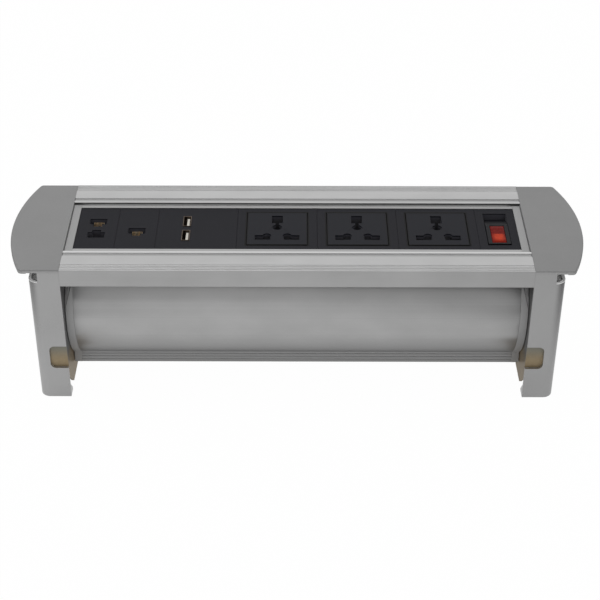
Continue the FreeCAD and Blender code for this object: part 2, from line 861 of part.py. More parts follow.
def make_plate(name, start, halves):
    """A module's black cover plate, between two module boundaries."""
    body = start_body(name)
    outline = start_sketch(body, "XY_Plane", name + "Outline", plate_under)
    draw_box(
        outline, (station(start) + S.plate_end_gap, station(start + halves) - S.plate_end_gap),
        (-plate_half, plate_half))
    pad(body, outline, S.plate_thick)
    return body


def make_socket(number, start):
    """Universal socket: cover plate, pin face, base with chambers, three contacts."""
    tag = "_%d" % number
    middle = station(start + 1)
    plate = make_plate("socket_plate" + tag, start, 2)
    window = start_sketch(plate, "XY_Plane", "Window" + tag, plate_under)
    hole = S.insert_half + S.insert_gap
    draw_box(window, span(middle, hole), (-hole, hole))
    pocket(plate, window, S.plate_thick)
    face_top = plate_top + S.insert_rise
    deep = (plate_under - S.insert_gap, face_top + S.insert_gap)
    height = deep[1] - deep[0]
    face = block(
        "Face" + tag, span(middle, S.insert_half), span(ZERO, S.insert_half),
        (plate_under, face_top))
    holes = [
        block("Earth" + tag, span(middle, S.earth_half), (S.earth_bottom, S.earth_top), deep),
        rod("EarthLow" + tag, (middle, S.earth_low_y, deep[0]), S.earth_low_radius, height),
        block("Neck" + tag, span(middle, S.earth_neck_half), (S.earth_low_y, S.earth_bottom), deep),
    ]
    base_low = plate_under - S.base_depth
    floor = base_low + S.base_wall
    base = block(
        "Base" + tag, span(middle, S.base_half_x), span(ZERO, ledge_half - S.base_gap),
        (base_low, plate_under))
    chambers = [block(
        "EarthRoom" + tag, span(middle, S.earth_half),
        (S.earth_low_y - S.earth_low_radius, S.earth_top), (floor, face_top))]
    line_high = S.line_bump_y + S.line_bump_radius
    rooms = [(middle, (S.earth_low_y + S.earth_top) / 2, S.earth_half)]
    for side in (-1, 1):
        ends = sorted((middle + S.line_in * side, middle + S.line_out * side), key=lambda size: size.value)
        holes.append(block("Line" + tag, ends, (S.line_bottom, S.line_top), deep))
        holes.append(rod(
            "Bump" + tag, (middle + S.line_bump_x * side, S.line_bump_y, deep[0]),
            S.line_bump_radius, height))
        chambers.append(block("LineRoom" + tag, ends, (S.line_bottom, line_high), (floor, face_top)))
        rooms.append(((ends[0] + ends[1]) / 2, (S.line_bottom + line_high) / 2, (ends[1] - ends[0]) / 2))
    keep("socket_face" + tag, cut("SocketFace" + tag, face, fuse("PinHoles" + tag, holes)))
    keep("socket_base" + tag, cut("SocketBase" + tag, base, fuse("Rooms" + tag, chambers)))
    strips = []
    for x, y, half in rooms:
        wide = span(x, half - S.contact_gap)
        reach = S.contact_half + S.contact_sheet
        strips.append(block("Foot" + tag, wide, span(y, reach), (floor, floor + S.contact_sheet)))
        for side in (-1, 1):
            leaf = span(y + (S.contact_half + S.contact_sheet / 2) * side, S.contact_sheet / 2)
            strips.append(block("Leaf" + tag, wide, leaf, (floor, floor + S.contact_depth)))
    keep("socket_contacts" + tag, fuse("Contacts" + tag, strips))


def make_busbars(first, last):
    """Copper strips that join the sockets' contacts below their bases."""
    low = plate_under - S.base_depth - S.busbar_thick
    wide = (station(first) + S.busbar_inset, station(last) - S.busbar_inset)
    rows = {"earth": S.earth_row, "live": S.live_row, "neutral": S.neutral_row}
    for use, y in rows.items():
        bar = block("Bar" + use, wide, span(y, S.busbar_width / 2), (low, low + S.busbar_thick))
        keep("busbar_" + use, bar)


def mouth(x, y, facing):
    """Stepped opening of a network jack; facing says which way its latch notch lies."""
    half = (S.jack_mouth_height + S.jack_latch_height) / 2
    back = y - half * facing
    shoulder = back + S.jack_mouth_height * facing
    front = y + half * facing
    wide = S.jack_mouth_half
    narrow = S.jack_latch_half
    return [
        (x - wide, back), (x + wide, back), (x + wide, shoulder), (x + narrow, shoulder),
        (x + narrow, front), (x - narrow, front), (x - narrow, shoulder), (x - wide, shoulder)]


def make_jack(number, plate, x, y, facing):
    """Network jack below a stepped hole in its plate, with a row of gold wires."""
    tag = "_%d" % number
    hole = start_sketch(plate, "XY_Plane", "Mouth" + tag, plate_under)
    draw_loop(hole, mouth(x, y, facing))
    pocket(plate, hole, S.plate_thick)
    body = start_body("jack" + tag)
    outline = start_sketch(body, "XY_Plane", "Jack" + tag, plate_under - S.jack_depth)
    draw_box(outline, span(x, S.jack_half_x), span(y, S.jack_half_y))
    pad(body, outline, S.jack_depth)
    cavity = start_sketch(body, "XY_Plane", "Cavity" + tag, plate_under - S.jack_mouth_depth)
    draw_loop(cavity, mouth(x, y, facing))
    pocket(body, cavity, S.jack_mouth_depth)
    count = SIZES["wire_count"]
    back = y - (S.jack_mouth_height + S.jack_latch_height) / 2 * facing
    sides = sorted((back, back + S.wire_thick * facing), key=lambda size: size.value)
    high = plate_under - S.wire_drop
    wires = []
    for index in range(count):
        offset = S.wire_pitch * (index - (count - 1) / 2)
        wires.append(block(
            "Wire" + tag, span(x + offset, S.wire_width / 2), sides, (high - S.wire_length, high)))
    keep("jack_wires" + tag, fuse("Wires" + tag, wires))


def make_charger(start):
    """Two upright USB ports: plate, metal shells, light tongues and a circuit board."""
    plate = make_plate("charger_plate", start, 2)
    middle = station(start + 1) + S.usb_x
    rim_top = plate_top + S.usb_rim
    low = rim_top - S.usb_depth
    inner_half_x = S.usb_half_x - S.usb_sheet
    inner_half_y = S.usb_half_y - S.usb_sheet
    hole = start_sketch(plate, "XY_Plane", "UsbHoles", plate_under)
    for number, side in ((1, 1), (2, -1)):
        tag = "_%d" % number
        y = S.usb_y * side
        draw_box(hole, span(middle, S.usb_half_x + S.usb_gap), span(y, S.usb_half_y + S.usb_gap))
        shell = start_body("usb_shell" + tag)
        wall = start_sketch(shell, "XY_Plane", "UsbWall" + tag, low)
        draw_box(wall, span(middle, S.usb_half_x), span(y, S.usb_half_y))
        draw_box(wall, span(middle, inner_half_x), span(y, inner_half_y))
        pad(shell, wall, S.usb_depth)
        foot = block(
            "TongueFoot" + tag, span(middle, inner_half_x), span(y, inner_half_y),
            (low, low + S.tongue_thick))
        blade = block(
            "TongueBlade" + tag, span(middle + S.tongue_offset, S.tongue_thick / 2),
            span(y, S.tongue_half_y), (low, plate_top - S.tongue_drop))
        keep("usb_tongue" + tag, fuse("Tongue" + tag, [foot, blade]))
    pocket(plate, hole, S.plate_thick)
    board = block(
        "Board", span(station(start + 1), S.board_half_x), span(ZERO, S.board_half_y),
        (low - S.board_thick, low))
    keep("charger_board", board)


def make_switch(start):
    """Power switch: plate with a well, rocker with a red lens, pin and housing."""
    middle = station(start) + S.half_module / 2
    plate = make_plate("switch_plate", start, 1)
    outer_x_half = S.well_half_x + S.well_wall
    outer_y_half = ledge_half - S.well_gap
    well_half_y = outer_y_half - S.well_wall
    low = plate_under - S.well_depth
    wall = start_sketch(plate, "XY_Plane", "WellWall", low)
    draw_box(wall, span(middle, outer_x_half), span(ZERO, outer_y_half))
    pad(plate, wall, S.well_depth)
    well = start_sketch(plate, "XY_Plane", "Well", low)
    draw_box(well, span(middle, S.well_half_x), span(ZERO, well_half_y))
    pocket(plate, well, S.well_depth + S.plate_thick)
    pivot_z = plate_top - S.rocker_pivot_drop
    pin_holes = start_sketch(plate, "YZ_Plane", "PinHoles", middle - outer_x_half)
    draw_circle(pin_holes, ZERO, pivot_z, S.rocker_pin_radius + S.seat_gap)
    pocket(plate, pin_holes, 2 * outer_x_half)
    pin = rod(
        "RockerPin", (middle - outer_x_half, ZERO, pivot_z), S.rocker_pin_radius,
        2 * outer_x_half, "x")
    keep("rocker_pin", pin)
    housing = block(
        "Housing", span(middle, outer_x_half), span(ZERO, outer_y_half),
        (low - S.housing_depth, low))
    keep("switch_housing", housing)
    half_x = S.well_half_x - S.rocker_gap
    half_y = well_half_y - S.rocker_end_gap
    top = plate_top + S.rocker_rise
    rocker = start_body("switch_rocker")
    side = start_sketch(rocker, "YZ_Plane", "RockerSide", middle - half_x)
    draw_loop(side, [
        (-half_y, top - S.rocker_thick), (half_y, top - S.rocker_thick),
        (half_y, top - S.rocker_dip), (S.rocker_crest, top), (-half_y, top)])
    pad(rocker, side, 2 * half_x)
    lens_y = (S.lens_inset - half_y, S.rocker_crest - S.lens_end_gap)
    seat = start_sketch(rocker, "XY_Plane", "LensSeat", top - S.lens_thick)
    draw_box(
        seat, span(middle, S.lens_half_x + S.seat_gap),
        (lens_y[0] - S.seat_gap, lens_y[1] + S.seat_gap))
    pocket(rocker, seat, 2 * S.lens_thick)
    bore = start_sketch(rocker, "YZ_Plane", "RockerBore", middle - half_x)
    draw_circle(bore, ZERO, pivot_z, S.rocker_pin_radius + S.run_gap)
    pocket(rocker, bore, 2 * half_x)
    lens = start_body("rocker_lens")
    face = start_sketch(lens, "XY_Plane", "LensFace", top - S.lens_thick)
    draw_box(face, span(middle, S.lens_half_x), lens_y)
    solid = pad(lens, face, S.lens_thick + S.lens_rise)
    lens_top = top + S.lens_rise
    round_edges(
        lens, solid, lambda a, b: min(a.z, b.z) > lens_top.value - 0.01, S.lens_rise)


def make_sockets():
    first = SIZES["count_before_sockets"]
    count = SIZES["socket_count"]
    for number in range(count):
        make_socket(number + 1, first + 2 * number)
    make_busbars(first, first + 2 * count)


def make_data_modules():
    pair_x = station(0) + S.half_module / 2
    pair = make_plate("data_plate_pair", 0, 1)
    make_jack(1, pair, pair_x, S.jack_pair_y, -1)
    make_jack(2, pair, pair_x, -S.jack_pair_y, 1)
    single = make_plate("data_plate_single", 1, 1)
    make_jack(3, single, pair_x + S.half_module, S.jack_single_y, -1)


def check_document():
    """Stops before writing when a feature failed, cut nothing or is not valid."""
    for item in doc.Objects:
        if "Invalid" in item.State or "Error" in item.State:
            raise RuntimeError("%s failed: %s" % (item.Name, item.State))
        if item.isDerivedFrom("PartDesign::Pocket"):
            before = item.BaseFeature.Shape.Volume
            if item.Shape.Volume > before * 0.999999:
                raise RuntimeError("%s cuts nothing" % item.Name)
    for name, item in nodes.items():
        if item.Shape.isNull() or not item.Shape.isValid() or not item.Shape.Solids:
            raise RuntimeError("%s has no valid solid" % name)


def main():
    for side, turned in (("right", False), ("left", True)):
        make_flange("flange_" + side, turned)
        make_leg("leg_" + side, turned)
        make_bracket("bearing_bracket_" + side, turned)
        make_pivot(side, turned)
        make_cap("drum_cap_" + side, turned)
    make_rail("rear_rail", False)
    make_rail("front_rail", True)
    make_shell()
    make_all_screws()
    make_data_modules()
    make_charger(2)
    make_sockets()
    make_switch(SIZES["module_count"] - 1)
    doc.recompute()
    check_document()
    os.makedirs("parts", exist_ok=True)
    for name, item in nodes.items():
        item.Label = name
        item.Shape.exportStep("parts/%s.step" % name)
    print("%d pieces, top at %.2f, axis at %.2f" % (len(nodes), top_z.value, axis_z.value))


main()
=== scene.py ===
import json
import math

import bpy
import numpy as np
from mathutils import Euler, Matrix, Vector


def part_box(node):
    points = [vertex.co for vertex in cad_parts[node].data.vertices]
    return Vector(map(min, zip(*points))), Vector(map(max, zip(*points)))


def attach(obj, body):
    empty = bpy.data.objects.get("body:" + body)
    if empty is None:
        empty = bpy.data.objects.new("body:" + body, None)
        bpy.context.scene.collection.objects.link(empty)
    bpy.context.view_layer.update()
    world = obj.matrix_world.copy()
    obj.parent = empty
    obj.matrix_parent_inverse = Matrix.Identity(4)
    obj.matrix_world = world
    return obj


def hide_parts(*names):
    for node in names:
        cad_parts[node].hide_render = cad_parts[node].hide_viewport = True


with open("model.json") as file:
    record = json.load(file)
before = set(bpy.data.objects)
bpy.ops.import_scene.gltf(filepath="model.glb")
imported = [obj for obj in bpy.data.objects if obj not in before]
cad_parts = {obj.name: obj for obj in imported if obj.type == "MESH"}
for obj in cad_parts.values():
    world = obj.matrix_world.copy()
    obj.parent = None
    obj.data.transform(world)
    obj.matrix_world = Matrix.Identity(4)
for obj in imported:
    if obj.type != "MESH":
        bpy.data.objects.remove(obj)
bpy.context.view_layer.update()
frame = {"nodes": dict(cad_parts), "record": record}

NODES = frame["nodes"]

# The photograph's view: place in metres, angles in degrees, focal length for a 36 mm frame.
VIEW_PLACE = (-0.00071, -0.95049, 0.71122)
VIEW_TURN = -0.1843
VIEW_DOWN = 34.914
VIEW_ROLL = 0.2443
VIEW_LENS = 89.71

# Sizes of the part in metres: the drum's axis lies DRUM_AXIS high, the ends of its shell lie
# SHELL_HALF out, LEG_CORNER is the centre of a leg's round corners, and GLOW_MIDDLE_X and
# GLOW_MIDDLE_Y are the middle of the glow painted on the red lens as the light on its lit front.
PANEL_TOP = float(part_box("data_plate_single")[1][2])
CAP_RADIUS = float(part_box("drum_cap_left")[1][1])
DRUM_AXIS = 0.063
HEAD_HALF = 0.0325
SHELL_HALF = 0.165
LEG_CORNER = (0.187, 0.0525)
GLOW_MIDDLE_X = 0.150
GLOW_MIDDLE_Y = -0.0118

# The caps made here: their thickness, the bevel round the head, the bevel on the upper flanks
# with the turns between which it widens, how far in from the edge the end faces reach and how
# near to the axis, and the small turn left free on either side of the outline's knee.
CAP_THICK = 0.0059
CAP_END = SHELL_HALF + CAP_THICK
HEAD_RIM = 0.0004
BEVEL_FULL = 0.0048
BEVEL_START = math.radians(13.0)
BEVEL_END = math.radians(33.0)
RING_WIDTH = 0.03
CORE_RADIUS = 0.006
KNEE_GAP = 0.0001

# The lens made here: how far its face rises, how it flattens, and its walls.
LENS_RISE = 0.0009
LENS_POWER = 8
LENS_WALL = 0.0012

# Bevels laid on sharp edges of CAD nodes, in metres.
EDGE_BEVELS = {
    "flange_left": 0.0002,
    "flange_right": 0.0002,
    "front_rail": 0.00022,
    "rear_rail": 0.00022,
    "socket_face_1": 0.0003,
    "socket_face_2": 0.0003,
    "socket_face_3": 0.0003,
    "drum_shell": 0.0002,
}

# Where the tints lie, in metres; most of them are painted light and shade. Two values are the
# ends of a soft edge, four are those of the two soft edges of a band. ACROSS counts from the
# plane
# Y = 0 and ALONG from the plane X = 0 to both sides, HEIGHT from the floor, ABOVE_AXIS up from
# the drum's axis, RADIUS away from it, OFF from the middle of a socket's insert, and GLOW_X from
# the middle of the painted glow.
RAIL_LIP_ACROSS = (0.0363, 0.0365)
RAIL_LIP_ABOVE_AXIS = (0.0513, 0.0515)
RAIL_STEP_ACROSS = (0.0363, 0.0365, 0.0405, 0.0407)
RAIL_STEP_FLOOR_ABOVE_AXIS = (0.05121, 0.05126)
RAIL_RIBS_ACROSS = (0.0510, 0.0515, 0.0592, 0.0594)
RAIL_CREST_ABOVE_AXIS = (0.05178, 0.05192)
RAIL_BORE_RADIUS = (0.0612, 0.0619)
HEAD_FLANK_ACROSS = (0.03228, 0.03246)
HEAD_FLANK_ABOVE_AXIS = (0.0484, 0.0490, 0.0501, 0.0504)
HEAD_TOP_ABOVE_AXIS = (0.0502, 0.0504)
DRUM_SHADE_ABOVE_AXIS = (-0.0405, -0.0090)
LID_GROOVES_ACROSS = (0.0310, 0.0315, 0.03215, 0.03235)
LID_ABOVE_AXIS = (-0.0415, -0.0405)
CAP_TOP_ABOVE_AXIS = (0.0495, 0.0500)
CAP_BEVEL_ABOVE_AXIS = (0.0, 0.004, 0.0430, 0.0450)
CAP_BEVEL_RADIUS = (CAP_RADIUS - 0.0007, CAP_RADIUS - 0.0004)
CAP_BEVEL_ALONG = (SHELL_HALF + 0.0008, SHELL_HALF + 0.0014, CAP_END - 0.0001, CAP_END - 0.00002)
LEG_INSIDE_CORNER = (0.0055, 0.0057)
EAR_RIM_HEIGHT = (0.1039, 0.1041, 0.1046, 0.1048)
EAR_RIM_ALONG = (0.1870, 0.1874)
FLANGE_TOP_HEIGHT = (0.1140, 0.1144)
INSERT_RING_OFF = (0.0216, 0.0221, 0.0237, 0.0242)
HOLE_HEIGHT = (PANEL_TOP - 0.0009, PANEL_TOP - 0.0006)
BRACKET_GREY_HEIGHT = (0.032, 0.046)
BRACKET_INNER_HEIGHT = (0.026, 0.046)
BRACKET_INNER_ALONG = (0.1713, 0.1716)
GLOW_Y = (GLOW_MIDDLE_Y - 0.0080, GLOW_MIDDLE_Y - 0.0015, GLOW_MIDDLE_Y + 0.0025, GLOW_MIDDLE_Y + 0.0050)
GLOW_X = (0.0015, 0.0060)

# What camera and mirrored rays see of the floor and the world. SHARE is the part of plain
# white in it, LOSS how much of that white is taken away in the places or directions named.
FLOOR_CAMERA_SHARE = 0.985
FLOOR_MIRROR_SHARE = 0.6
FLOOR_RIGHT_LOSS = 0.20
FLOOR_FAR_LOSS = 0.72
FLOOR_RIGHT = (-0.35, 0.35)
FLOOR_FAR_RIGHT = (0.21, 0.40)
FLOOR_FAR_LEFT = (0.24, 0.38)
WORLD_FRONT_LOSS = 0.55
WORLD_MIRROR_LOSS = 0.15
WORLD_SOFT_LIGHT = 0.5
WORLD_RISE = (0.06, 0.3)
WORLD_FRONT = (0.1, 0.6)

# Soft boxes: name, place, power in watts, width.
LIGHTS = (
    ("rear", (0.0, 2.3, 1.7), 6.0, 2.4),
    ("key", (-0.9, 0.3, 1.7), 8.0, 1.2),
    ("fill", (0.9, -0.4, 1.9), 6.0, 1.4),
    ("front", (-0.2, -1.5, 1.5), 2.5, 1.0),
)
LIGHTS_AIM = (0.0, 0.0, 0.06)


def make_camera():
    """The photograph's view, as fitted to the corners of its rails, flanges and panel."""
    data = bpy.data.cameras.new("view")
    data.sensor_width = 36.0
    data.lens = VIEW_LENS
    data.clip_start = 0.05
    data.clip_end = 20.0
    camera = bpy.data.objects.new("view", data)
    bpy.context.scene.collection.objects.link(camera)
    camera.location = VIEW_PLACE
    turn = Euler((0.0, 0.0, math.radians(VIEW_TURN))).to_matrix()
    pitch = Euler((math.radians(90.0 - VIEW_DOWN), 0.0, 0.0)).to_matrix()
    roll = Euler((0.0, 0.0, math.radians(VIEW_ROLL))).to_matrix()
    camera.rotation_euler = (turn @ pitch @ roll).to_euler()
    bpy.context.scene.camera = camera


class Field:
    """A number that varies over a surface: one shader socket with arithmetic."""

    def __init__(self, tree, socket):
        self.tree = tree
        self.socket = socket

    def join(self, kind, first, second=0.0):
        node = self.tree.nodes.new("ShaderNodeMath")
        node.operation = kind
        for slot, item in zip(node.inputs, (first, second)):
            if isinstance(item, Field):
                self.tree.links.new(item.socket, slot)
            else:
                slot.default_value = item
        return Field(self.tree, node.outputs[0])

    def __add__(self, other):
        return self.join("ADD", self, other)

    def __sub__(self, other):
        return self.join("SUBTRACT", self, other)

    def __rsub__(self, other):
        return self.join("SUBTRACT", other, self)

    def __mul__(self, other):
        return self.join("MULTIPLY", self, other)

    __radd__ = __add__
    __rmul__ = __mul__

    def size(self):
        """The number without its sign."""
        return self.join("ABSOLUTE", self)

    def root(self):
        """Its square root."""
        return self.join("SQRT", self)

    def larger(self, other):
        """The larger of two numbers."""
        return self.join("MAXIMUM", self, other)

    def ramp(self, low, high):
        """0 below low, 1 above high, smooth between them."""
        node = self.tree.nodes.new("ShaderNodeMapRange")
        node.interpolation_type = "SMOOTHSTEP"
        self.tree.links.new(self.socket, node.inputs["Value"])
        node.inputs["From Min"].default_value = low
        node.inputs["From Max"].default_value = high
        return Field(self.tree, node.outputs["Result"])

    def fall(self, low, high):
        """1 below low, 0 above high, smooth between them."""
        return 1.0 - self.ramp(low, high)

    def band(self, start, full, fade, gone):
        """1 from full to fade, 0 before start and after gone."""
        return self.ramp(start, full) * self.fall(fade, gone)


def axes(tree, kind):
    """Three fields: the place on an object, or the direction of a ray in the world."""
    place = tree.nodes.new("ShaderNodeTexCoord").outputs[kind]
    split = tree.nodes.new("ShaderNodeSeparateXYZ")
    tree.links.new(place, split.inputs[0])
    return [Field(tree, split.outputs[name]) for name in "XYZ"]


def ray(tree, kind):
    """1 for rays of one kind, Camera or Glossy, and 0 for all others."""
    return Field(tree, tree.nodes.new("ShaderNodeLightPath").outputs["Is %s Ray" % kind])


class Paint:
    """A Principled material whose textures read the object's own coordinates."""

    def __init__(self, name, metallic=0.0, roughness=0.5, **fixed):
        self.name = name
        self.material = bpy.data.materials.new(name)
        self.material.use_nodes = True
        self.tree = self.material.node_tree
        self.shader = self.tree.nodes["Principled BSDF"]
        self.shader.inputs["Metallic"].default_value = metallic
        self.shader.inputs["Roughness"].default_value = roughness
        for key, value in fixed.items():
            self.shader.inputs[key.replace("_", " ")].default_value = value
        self.place = self.tree.nodes.new("ShaderNodeTexCoord").outputs["Object"]

    def axes(self):
        return axes(self.tree, "Object")

    def noise(self, cells, detail=3.0, rough=0.5):
        """Cloud noise from 0 to 1; cells a metre, one number or one for each axis."""
        stretch = self.tree.nodes.new("ShaderNodeVectorMath")
        stretch.operation = "MULTIPLY"
        self.tree.links.new(self.place, stretch.inputs[0])
        stretch.inputs[1].default_value = tuple(np.broadcast_to(cells, 3).tolist())
        node = self.tree.nodes.new("ShaderNodeTexNoise")
        node.inputs["Scale"].default_value = 1.0
        node.inputs["Detail"].default_value = detail
        node.inputs["Roughness"].default_value = rough
        self.tree.links.new(stretch.outputs[0], node.inputs["Vector"])
        return Field(self.tree, node.outputs["Fac"])

    def blend(self, field, low, high, into):
        """Leads an input of the shader from low, a colour or a socket, to the colour high."""
        node = self.tree.nodes.new("ShaderNodeMix")
        node.data_type = "RGBA"
        self.tree.links.new(field.socket, node.inputs["Factor"])
        if isinstance(low, tuple):
            node.inputs["A"].default_value = (*low, 1.0)
        else:
            self.tree.links.new(low, node.inputs["A"])
        node.inputs["B"].default_value = (*high, 1.0)
        self.tree.links.new(node.outputs["Result"], self.shader.inputs[into])

    def colour(self, field, low, high):
        """Base colour between two colours, led by a field."""
        self.blend(field, low, high, "Base Color")

    def tint(self, mask, colour):
        """Lays a second colour over the base colour where the mask is 1."""
        under = self.shader.inputs["Base Color"].links[0].from_socket
        self.blend(mask, under, colour, "Base Color")

    def glow(self, mask, colour):
        """Emission of a colour where the mask is 1."""
        self.blend(mask, (0.0, 0.0, 0.0), colour, "Emission Color")

    def set(self, name, field):
        self.tree.links.new(field.socket, self.shader.inputs[name])

    def roughness(self, base, *parts):
        """Roughness that strays from its base by a share of each noise."""
        for share, noise in parts:
            base = base + share * (noise - 0.5)
        self.set("Roughness", base)

    def bump(self, field, depth):
        """Relief of this depth in metres."""
        node = self.tree.nodes.new("ShaderNodeBump")
        node.inputs["Strength"].default_value = 1.0
        node.inputs["Distance"].default_value = depth
        self.tree.links.new(field.socket, node.inputs["Height"])
        self.tree.links.new(node.outputs["Normal"], self.shader.inputs["Normal"])


def shade(grey):
    """Linear colour of a grey from 0 to 255, or of three such values."""
    values = np.atleast_1d(np.asarray(grey, float)) / 255.0
    linear = np.where(values <= 0.04045, values / 12.92, ((values + 0.055) / 1.055) ** 2.4)
    return tuple(float(v) for v in np.broadcast_to(linear, 3))


def around(grey, spread):
    """The two colours that lie this spread below and above a grey."""
    base = np.asarray(grey, float)
    return [shade(np.clip(base + step, 0, 255)) for step in (-spread, spread)]


def drawn_metal(name, grey, roughness):
    """Satin anodised extrusion: fine die lines along X, soft clouding, a slight sparkle."""
    paint = Paint(name, metallic=1.0)
    lines = paint.noise((0.7, 1500.0, 1500.0), 2.0)
    cloud = paint.noise((26.0, 40.0, 40.0))
    grain = paint.noise(3200.0, 1.0)
    mix = 0.25 * lines + 0.5 * cloud + 0.25 * grain
    paint.colour(mix.ramp(0.25, 0.75), *around(grey, 7))
    paint.roughness(roughness, (0.04, lines), (0.06, cloud))
    paint.bump(0.7 * lines + 0.3 * grain, 0.0000015)
    return paint


def rail_metal(name, grey, roughness):
    """Drawn metal: a painted highlight on the front lip, painted light on the step's walls and
    between the ribs, painted shade on the step's floor, and nearly black painted shade on the
    wall that faces the drum."""
    paint = drawn_metal(name, grey, roughness)
    _, y, z = paint.axes()
    z = z - DRUM_AXIS
    across = y.size()
    below = z.fall(*RAIL_CREST_ABOVE_AXIS)
    front = y.fall(-0.001, 0.001)
    lip = across.fall(*RAIL_LIP_ACROSS) * front * z.ramp(*RAIL_LIP_ABOVE_AXIS)
    step = across.band(*RAIL_STEP_ACROSS) * below
    painted_step_floor_shade = step * z.fall(*RAIL_STEP_FLOOR_ABOVE_AXIS)
    grooves = across.band(*RAIL_RIBS_ACROSS) * below
    painted_bore_shade = (y * y + z * z).root().fall(*RAIL_BORE_RADIUS)
    # Painted light and shade: highlight on the front lip, light on the step's walls and between
    # the ribs, shade on the step's floor and on the wall facing the drum.
    paint.tint(lip, shade(190))
    paint.tint(step, shade(215))
    paint.tint(painted_step_floor_shade, shade(158))
    paint.tint(grooves, shade(205))
    paint.tint(painted_bore_shade, shade(22))
    return paint


def drum_metal(name, grey, roughness):
    """Drawn metal: nearly black painted shade on the head's flanks beside the rails' lips,
    painted shade darker towards the lid strip below, painted light on the strip's outer grooves,
    and darker on the head's rim."""
    paint = drawn_metal(name, grey, roughness)
    _, y, z = paint.axes()
    z = z - DRUM_AXIS
    across = y.size()
    flank = across.ramp(*HEAD_FLANK_ACROSS) * z.band(*HEAD_FLANK_ABOVE_AXIS)
    grooves = across.band(*LID_GROOVES_ACROSS) * z.fall(*LID_ABOVE_AXIS)
    # Painted shade on the head's flanks and towards the lid strip, painted light in the strip's
    # grooves.
    paint.tint(flank, shade(26))
    paint.tint(0.9 * z.fall(*DRUM_SHADE_ABOVE_AXIS), shade(142))
    paint.tint(grooves, shade(178))
    paint.tint(z.ramp(*HEAD_TOP_ABOVE_AXIS), shade(160))
    return paint


def coated(name, grey, roughness, metallic=0.35):
    """Moulded part under a matt silver coat: an even fine grain and faint clouding."""
    paint = Paint(name, metallic=metallic)
    grain = paint.noise(1900.0, 2.0)
    cloud = paint.noise(22.0)
    paint.colour((0.5 * grain + 0.5 * cloud).ramp(0.3, 0.7), *around(grey, 4))
    paint.roughness(roughness, (0.12, grain), (0.08, cloud))
    paint.bump(grain, 0.00003)
    return paint


def leg_coat(name, grey):
    """Glossier coat, with pale non-metal painted light inside the channel and a near-white
    painted highlight on the ear gap's lower rim.
    """
    metallic = 0.85
    paint = coated(name, grey, 0.30, metallic)
    x, y, z = paint.axes()
    x = x.size()
    outward = (x - LEG_CORNER[0]).larger(0.0)
    sideways = (y.size() - LEG_CORNER[1]).larger(0.0)
    inside = (outward * outward + sideways * sideways).fall(*np.square(LEG_INSIDE_CORNER))
    rim = z.band(*EAR_RIM_HEIGHT) * x.ramp(*EAR_RIM_ALONG)
    # Painted light inside the channel and a painted highlight on the ear gap's rim; both drop
    # the metal.
    paint.tint(inside, shade(235))
    paint.tint(rim, shade(252))
    paint.set("Metallic", metallic * (1.0 - inside) * (1.0 - rim))
    return paint


def flange_coat(name, grey, edge_grey):
    """Matt coat of the covers: the legs' tone round the edge, with a darker top as painted
    shade.
    """
    paint = coated(name, grey, 0.62)
    _, _, z = paint.axes()
    # Painted shade: only the top keeps the darker grey; below it the edge takes the legs' tone.
    paint.tint(z.fall(*FLANGE_TOP_HEIGHT), shade(edge_grey))
    return paint


def cap_coat(name, grey, top_grey):
    """Matt coat of the drum's caps: darker on the strip beside the panel, pale painted light on
    the upper bevels.
    """
    paint = coated(name, grey, 0.5)
    x, y, z = paint.axes()
    z = z - DRUM_AXIS
    radius = (y * y + z * z).root()
    bevel = x.size().band(*CAP_BEVEL_ALONG) * radius.fall(*CAP_BEVEL_RADIUS)
    paint.tint(z.ramp(*CAP_TOP_ABOVE_AXIS), shade(top_grey))
    # Painted light on the upper bevels, which lie in shade under the rail and flange.
    paint.tint(bevel * z.band(*CAP_BEVEL_ABOVE_AXIS), shade(246))
    return paint


def plastic(name, colour, roughness, spread=3, cells=1400.0, **fixed):
    """Spark-textured plastic: fine grain in relief and roughness, faint clouding in colour."""
    paint = Paint(name, **fixed)
    spark = paint.noise(cells, 2.0)
    cloud = paint.noise(30.0)
    paint.colour((0.4 * spark + 0.6 * cloud).ramp(0.3, 0.7), *around(colour, spread))
    paint.roughness(roughness, (0.14, spark), (0.06, cloud))
    paint.bump(spark, 0.00002)
    return paint


def panel_plastic(name, colour, roughness):
    """Black panel plastic: a nearly black ring of painted shade round the sockets' inserts, and
    greyer down in the holes as painted light.
    """
    paint = plastic(name, colour, roughness, Specular_IOR_Level=0.12)
    x, y, z = paint.axes()
    for number in (1, 2, 3):
        low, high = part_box("socket_face_%d" % number)
        off = (x - (low[0] + high[0]) / 2).size().larger(y.size())
        # Painted shade in the gap round each insert.
        paint.tint(off.band(*INSERT_RING_OFF), shade(6))
    # Painted light down in the holes.
    paint.tint(z.fall(*HOLE_HEIGHT), shade((72, 72, 78)))
    return paint


def plated(name, colour, roughness):
    """Plated or rolled metal: patchy tone, fine scratches in roughness and relief."""
    paint = Paint(name, metallic=1.0)
    cloud = paint.noise(90.0, 4.0)
    scratch = paint.noise((160.0, 4200.0, 900.0), 2.0)
    paint.colour(cloud.ramp(0.3, 0.7), *around(colour, 8))
    paint.roughness(roughness, (0.16, scratch), (0.1, cloud))
    paint.bump(scratch, 0.00001)
    return paint


